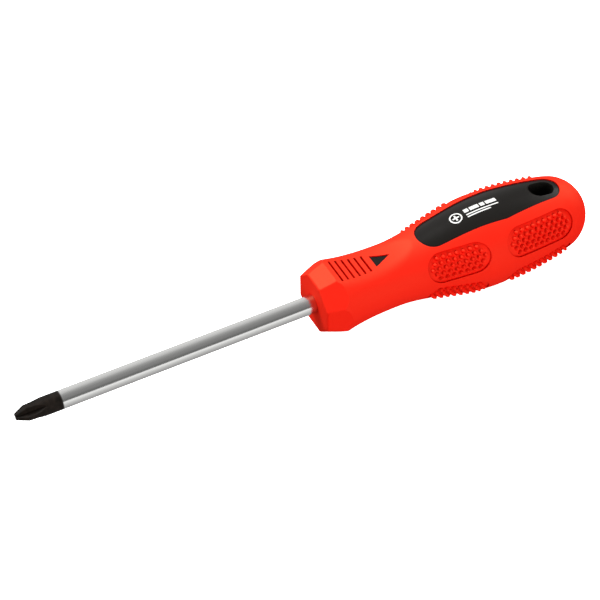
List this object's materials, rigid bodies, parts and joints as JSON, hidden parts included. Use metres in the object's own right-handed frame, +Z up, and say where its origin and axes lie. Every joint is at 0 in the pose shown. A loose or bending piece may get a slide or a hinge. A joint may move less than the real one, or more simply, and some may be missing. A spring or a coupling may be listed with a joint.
{
  "type": "cross-point screwdriver",
  "caption": "Fixed-blade cross-point screwdriver with a polished round shank, a blackened point and a soft studded grip moulded over a hard core with a hanging hole.",
  "frame": {"origin": "centre of the handle's front face, where the blade leaves the handle", "axes": "+X along the blade's axis from the point towards the butt, +Z up through the panel and the hanging hole, +Y across"},
  "size_m": [0.1977, 0.0306, 0.0296],
  "materials": {
    "polished_steel": "bright nickel-chrome plate, drawn along the shank",
    "blackened_steel": "black oxide, satin",
    "sleeve_plastic": "natural polypropylene, as moulded",
    "core_plastic": "black polypropylene, fine satin moulding",
    "grip_rubber": "red thermoplastic rubber, soft satin",
    "print_ink": "white pad-printed ink"
  },
  "bodies": {
    "root": {"blade": "polished_steel", "tang_sleeve": "sleeve_plastic", "handle_core": "core_plastic", "grip_skin": "grip_rubber"}
  },
  "joints": []
}
